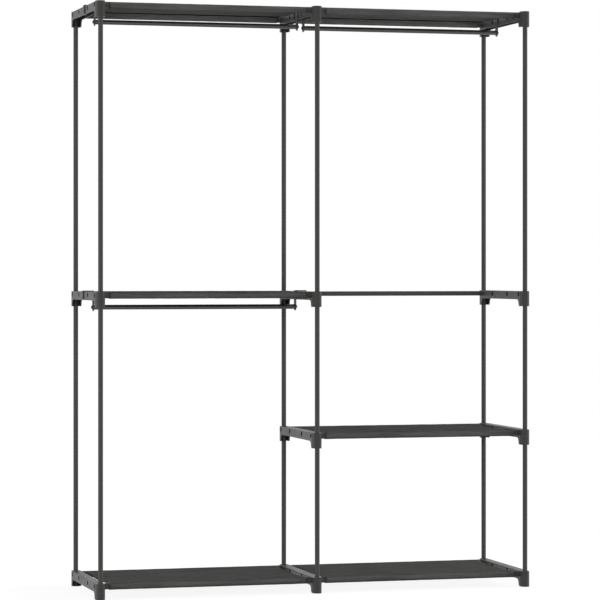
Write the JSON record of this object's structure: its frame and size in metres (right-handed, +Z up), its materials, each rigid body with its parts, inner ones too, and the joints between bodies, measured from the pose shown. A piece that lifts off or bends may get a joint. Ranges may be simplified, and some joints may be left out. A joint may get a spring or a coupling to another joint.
{
  "type": "fabric wardrobe",
  "caption": "Open clothes frame in side-by-side bays: round uprights and moulded side beams carry fabric shelves, and hanging rods whose hooks slide along the beams.",
  "frame": {"origin": "bottom centre of the bounding box, on the floor under the middle of the centre ladder frame", "axes": "+X to the right across the bays, +Y from the open front to the rear, +Z up"},
  "size_m": [1.3098, 0.3952, 1.7009],
  "materials": {
    "coated_tube": "dark grey powder coat on thin steel tube, satin",
    "coated_rod": "dark grey powder coat on steel tube, satin",
    "moulded_plastic": "dark grey moulded polypropylene, fine grain",
    "hook_plastic": "dark grey moulded plastic strap, fine grain",
    "shelf_fabric": "dark grey woven cloth, sewn sleeves"
  },
  "bodies": {
    "frame": {"left_foot_beam": "moulded_plastic", "left_middle_beam": "moulded_plastic", "left_top_beam": "moulded_plastic", "centre_foot_beam": "moulded_plastic", "centre_lower_beam": "moulded_plastic", "centre_middle_beam": "moulded_plastic", "centre_top_beam": "moulded_plastic", "right_foot_beam": "moulded_plastic", "right_lower_beam": "moulded_plastic", "right_middle_beam": "moulded_plastic", "right_top_beam": "moulded_plastic", "left_front_foot_to_middle_upright": "coated_tube", "left_front_middle_to_top_upright": "coated_tube", "left_rear_foot_to_middle_upright": "coated_tube", "left_rear_middle_to_top_upright": "coated_tube", "centre_front_foot_to_lower_upright": "coated_tube", "centre_front_lower_to_middle_upright": "coated_tube", "centre_front_middle_to_top_upright": "coated_tube", "centre_rear_foot_to_lower_upright": "coated_tube", "centre_rear_lower_to_middle_upright": "coated_tube", "centre_rear_middle_to_top_upright": "coated_tube", "right_front_foot_to_lower_upright": "coated_tube", "right_front_lower_to_middle_upright": "coated_tube", "right_front_middle_to_top_upright": "coated_tube", "right_rear_foot_to_lower_upright": "coated_tube", "right_rear_lower_to_middle_upright": "coated_tube", "right_rear_middle_to_top_upright": "coated_tube", "left_foot_shelf": "shelf_fabric", "left_middle_shelf": "shelf_fabric", "left_top_shelf": "shelf_fabric", "right_foot_shelf": "shelf_fabric", "right_lower_shelf": "shelf_fabric", "right_top_shelf": "shelf_fabric", "left_foot_shelf_front_tube": "coated_tube", "left_foot_shelf_rear_tube": "coated_tube", "left_middle_shelf_front_tube": "coated_tube", "left_middle_shelf_rear_tube": "coated_tube", "left_top_shelf_front_tube": "coated_tube", "left_top_shelf_rear_tube": "coated_tube", "right_foot_shelf_front_tube": "coated_tube", "right_foot_shelf_rear_tube": "coated_tube", "right_lower_shelf_front_tube": "coated_tube", "right_lower_shelf_rear_tube": "coated_tube", "right_top_shelf_front_tube": "coated_tube", "right_top_shelf_rear_tube": "coated_tube", "right_middle_rear_rail": "coated_tube", "shelf_tube_collars": "moulded_plastic", "top_caps": "moulded_plastic", "foot_pads": "moulded_plastic"},
    "left_middle_rod_set": {"left_middle_rod": "coated_rod", "left_middle_rod_left_hook": "hook_plastic", "left_middle_rod_right_hook": "hook_plastic"},
    "left_top_rod_set": {"left_top_rod": "coated_rod", "left_top_rod_left_hook": "hook_plastic", "left_top_rod_right_hook": "hook_plastic"},
    "right_top_rod_set": {"right_top_rod": "coated_rod", "right_top_rod_left_hook": "hook_plastic", "right_top_rod_right_hook": "hook_plastic"}
  },
  "joints": [
    {"name": "left_middle_rod_slide", "type": "slide", "parent": "frame", "child": "left_middle_rod_set", "axis": [0, 1, 0], "range_m": [-0.125, 0.125]},
    {"name": "left_top_rod_slide", "type": "slide", "parent": "frame", "child": "left_top_rod_set", "axis": [0, 1, 0], "range_m": [-0.11, 0.008]},
    {"name": "right_top_rod_slide", "type": "slide", "parent": "frame", "child": "right_top_rod_set", "axis": [0, 1, 0], "range_m": [-0.01, 0.11]}
  ]
}
